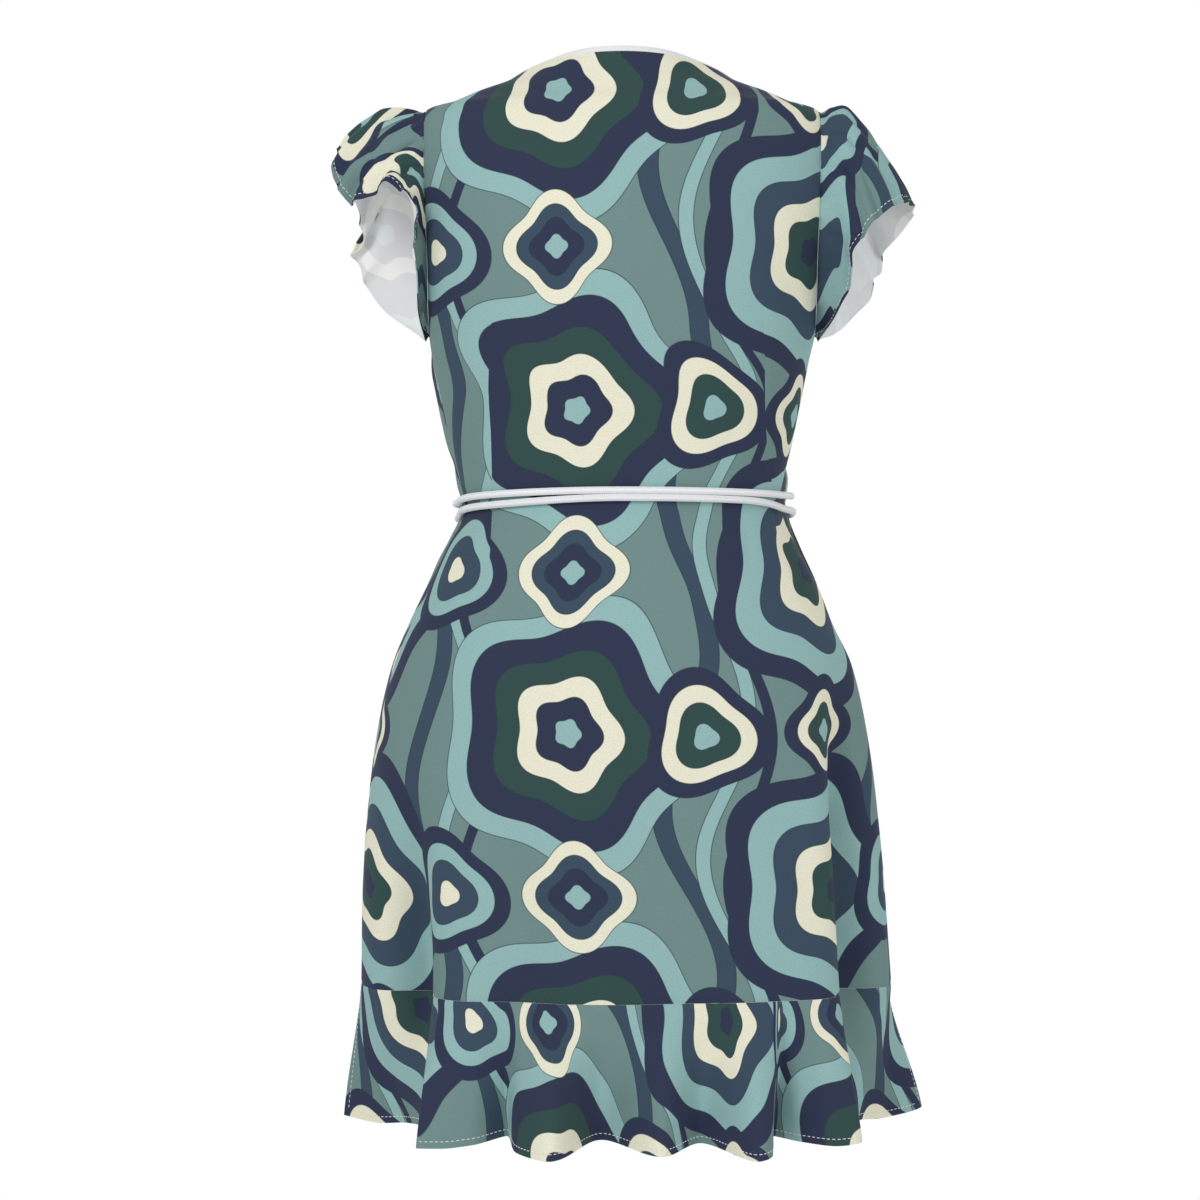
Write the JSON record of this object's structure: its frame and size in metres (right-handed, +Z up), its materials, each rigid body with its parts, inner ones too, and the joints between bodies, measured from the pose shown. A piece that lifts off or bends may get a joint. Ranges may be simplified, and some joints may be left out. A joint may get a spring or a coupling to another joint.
{
  "type": "tea dress",
  "caption": "Short wrap tea dress, worn and hollow, with flutter cap sleeves, a bound neck, two cord ties round the waist and a flounce at the hem",
  "frame": {"origin": "midway between the shoulder tips, on the shoulder line that carries the dress", "axes": "+Z up, +Y the way the wearer faces, so the back of the dress faces -Y; +X the wearer's right"},
  "size_m": [0.5175, 0.4073, 0.9247],
  "materials": {
    "printed_cloth": "matt woven polyester crepe with an all-over print, white reverse",
    "binding": "plain white bias binding, satin-matt",
    "cord": "plain white round cord"
  },
  "bodies": {
    "root": {"back": "printed_cloth", "front_left": "printed_cloth", "front_right": "printed_cloth", "flounce_back": "printed_cloth", "flounce_front_left": "printed_cloth", "flounce_front_right": "printed_cloth", "sleeve_left": "printed_cloth", "sleeve_right": "printed_cloth", "neck_binding": "binding", "tie_right": "cord", "tie_left": "cord", "tie_right_tail": "cord", "tie_left_tail": "cord", "tie_knot": "cord"}
  },
  "joints": []
}
